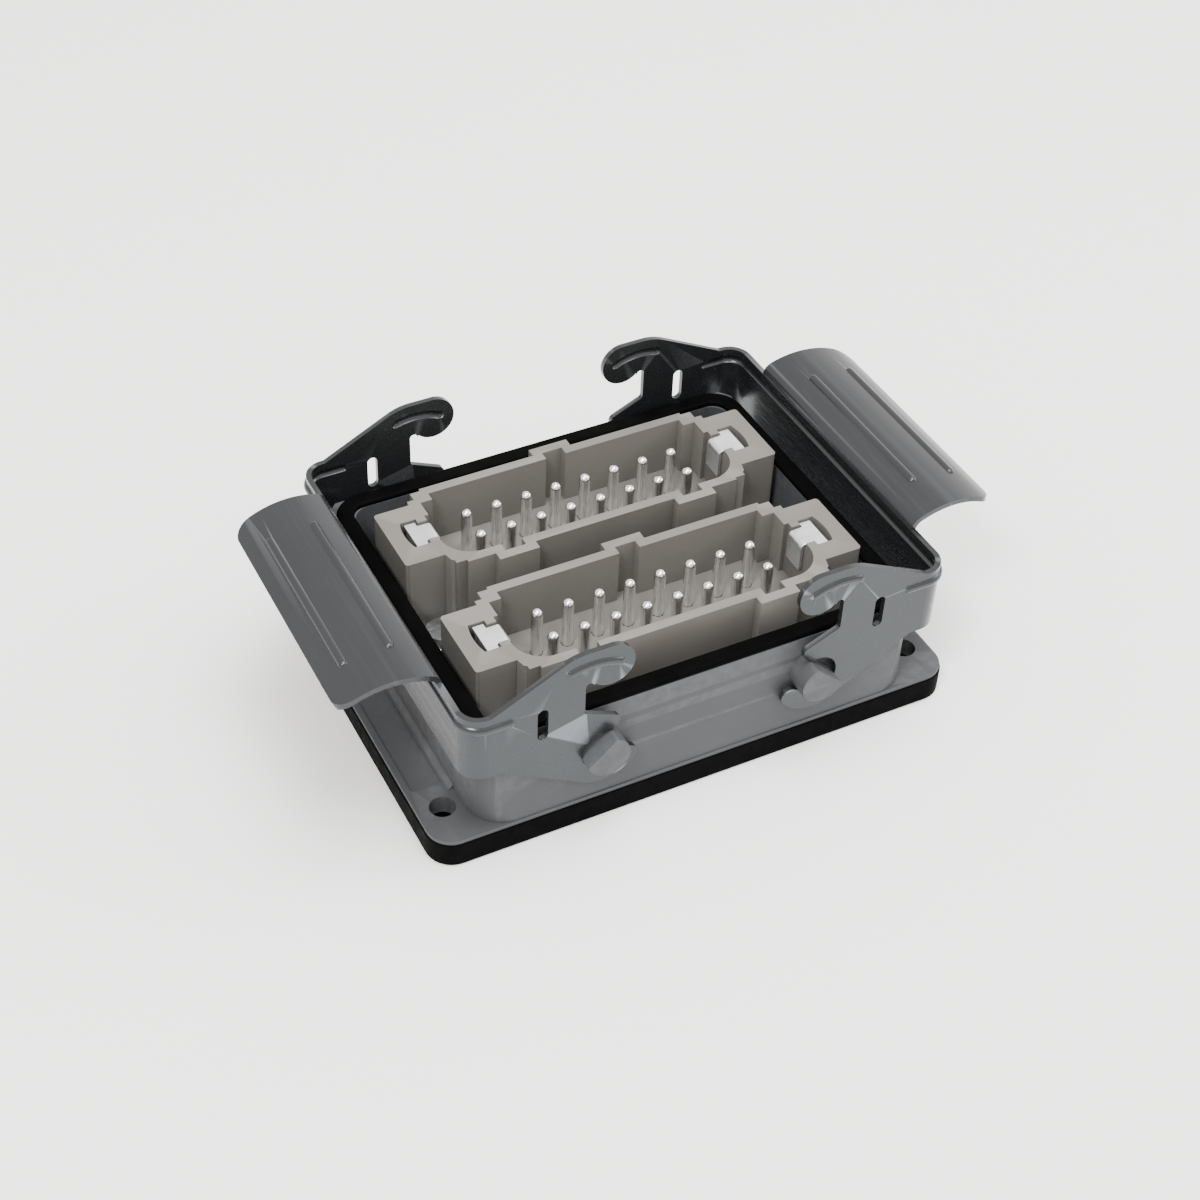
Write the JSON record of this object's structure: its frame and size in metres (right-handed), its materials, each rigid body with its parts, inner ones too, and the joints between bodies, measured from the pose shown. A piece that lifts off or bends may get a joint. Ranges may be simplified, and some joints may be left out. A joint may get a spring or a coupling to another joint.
{
  "type": "heavy duty rectangular connector",
  "caption": "Bulkhead base of a rectangular connector: cast housing with rim seal and gasket, two sprung-steel locking levers and two male pin inserts side by side.",
  "frame": {"origin": "middle of the gasket's underside, on the panel", "axes": "+X along the long side, from the left lever to the right one; +Y across, towards the back insert; +Z out of the panel, the way the hood comes off"},
  "size_m": [0.1496, 0.0924, 0.0482],
  "materials": {
    "cast_housing": "satin grey powder coat on a die casting",
    "seal": "matt black",
    "lever_steel": "bright rolled stainless sheet",
    "insert_resin": "moulded light warm grey",
    "contact_silver": "silver-plated",
    "earth_steel": "bright plated spring steel",
    "screw_steel": "zinc plated"
  },
  "bodies": {
    "base": {"housing": "cast_housing", "flange_gasket": "seal", "rim_seal": "seal", "insert_front": "insert_resin", "insert_back": "insert_resin", "pins_front_a": "contact_silver", "pins_front_b": "contact_silver", "pins_back_a": "contact_silver", "pins_back_b": "contact_silver", "clamp_screws_front_a": "screw_steel", "clamp_screws_front_b": "screw_steel", "clamp_screws_back_a": "screw_steel", "clamp_screws_back_b": "screw_steel", "earth_plate_front_left": "earth_steel", "earth_plate_front_right": "earth_steel", "earth_plate_back_left": "earth_steel", "earth_plate_back_right": "earth_steel", "earth_clip_front_left": "earth_steel", "earth_clip_front_right": "earth_steel", "earth_clip_back_left": "earth_steel", "earth_clip_back_right": "earth_steel", "earth_screw_front_left": "screw_steel", "earth_screw_front_right": "screw_steel", "earth_screw_back_left": "screw_steel", "earth_screw_back_right": "screw_steel", "fixing_screws_front": "screw_steel", "fixing_screws_back": "screw_steel"},
    "lever_left_body": {"lever_left": "lever_steel"},
    "lever_right_body": {"lever_right": "lever_steel"}
  },
  "joints": [
    {"name": "lever_right_hinge", "type": "hinge", "parent": "base", "child": "lever_right_body", "pos_m": [0.0246, 0, 0.0205], "axis": [0, 1, 0], "range_deg": [0, 30]},
    {"name": "lever_left_hinge", "type": "hinge", "parent": "base", "child": "lever_left_body", "pos_m": [-0.0246, 0, 0.0205], "axis": [0, -1, 0], "range_deg": [0, 30]}
  ]
}
